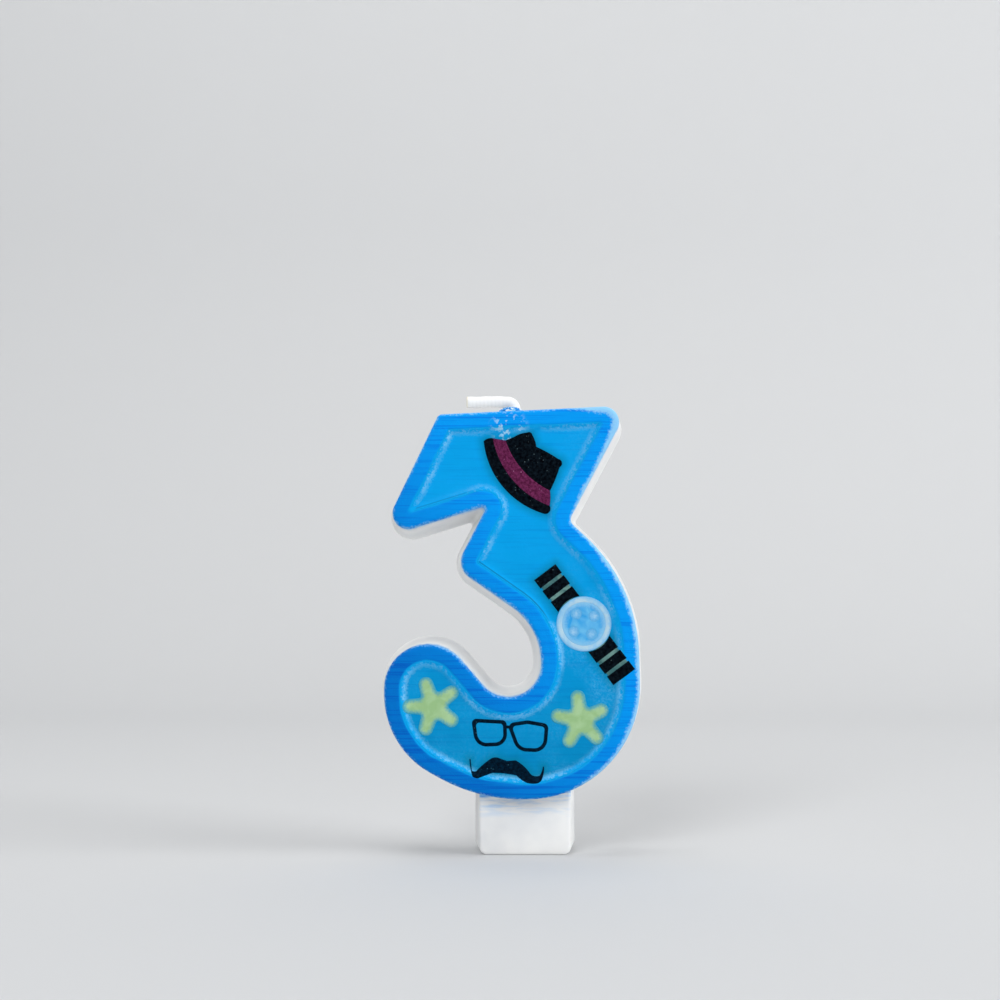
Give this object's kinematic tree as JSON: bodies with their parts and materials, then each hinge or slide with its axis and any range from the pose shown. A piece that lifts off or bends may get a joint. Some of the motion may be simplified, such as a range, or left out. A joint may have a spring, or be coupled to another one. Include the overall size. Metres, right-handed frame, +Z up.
{
  "type": "number birthday candle",
  "caption": "Wax number candle shaped like a 3 with a raised blue rim, picture motifs on its face, a push-in foot and a wick folded flat that bends upright.",
  "frame": {"origin": "centre of the underside of the foot, at half the numeral's depth", "axes": "+X to the reader's right, -Y out of the decorated front, +Z up towards the wick"},
  "size_m": [0.0434, 0.0122, 0.0743],
  "materials": {
    "white_wax": "translucent white paraffin wax, soft satin",
    "blue_wax": "blue dyed wax, satin with fine level streaks",
    "cyan_wax": "cyan dyed wax, slightly glossy and cloudy",
    "black_wax": "black dyed wax with fine sparkle",
    "plum_wax": "plum dyed wax with fine sparkle",
    "pale_blue_wax": "pale blue pearly wax",
    "sky_wax": "sky blue pearly wax",
    "green_wax": "pale green opaque wax, matt",
    "navy_wax": "dark navy dyed wax",
    "waxed_cotton": "braided white cotton stiffened with wax"
  },
  "bodies": {
    "candle": {"wax_body": "white_wax", "outline_rim": "blue_wax", "face_fill": "cyan_wax", "wick_core": "waxed_cotton", "hat_brim": "black_wax", "hat_band": "plum_wax", "hat_crown": "black_wax", "watch_bezel": "pale_blue_wax", "watch_dial": "sky_wax", "watch_mark_1": "pale_blue_wax", "watch_mark_2": "pale_blue_wax", "watch_mark_3": "pale_blue_wax", "watch_mark_4": "pale_blue_wax", "strap_upper_1": "black_wax", "strap_upper_2": "black_wax", "strap_upper_3": "black_wax", "strap_lower_1": "black_wax", "strap_lower_2": "black_wax", "strap_lower_3": "black_wax", "star_left": "green_wax", "star_right": "green_wax", "glasses": "navy_wax", "moustache": "navy_wax"},
    "wick_end": {"wick_tip": "waxed_cotton"}
  },
  "joints": [
    {"name": "wick_bend", "type": "hinge", "parent": "candle", "child": "wick_end", "pos_m": [-0.0016, -0.002, 0.07333], "axis": [0, 1, 0], "range_deg": [0, 170]}
  ]
}
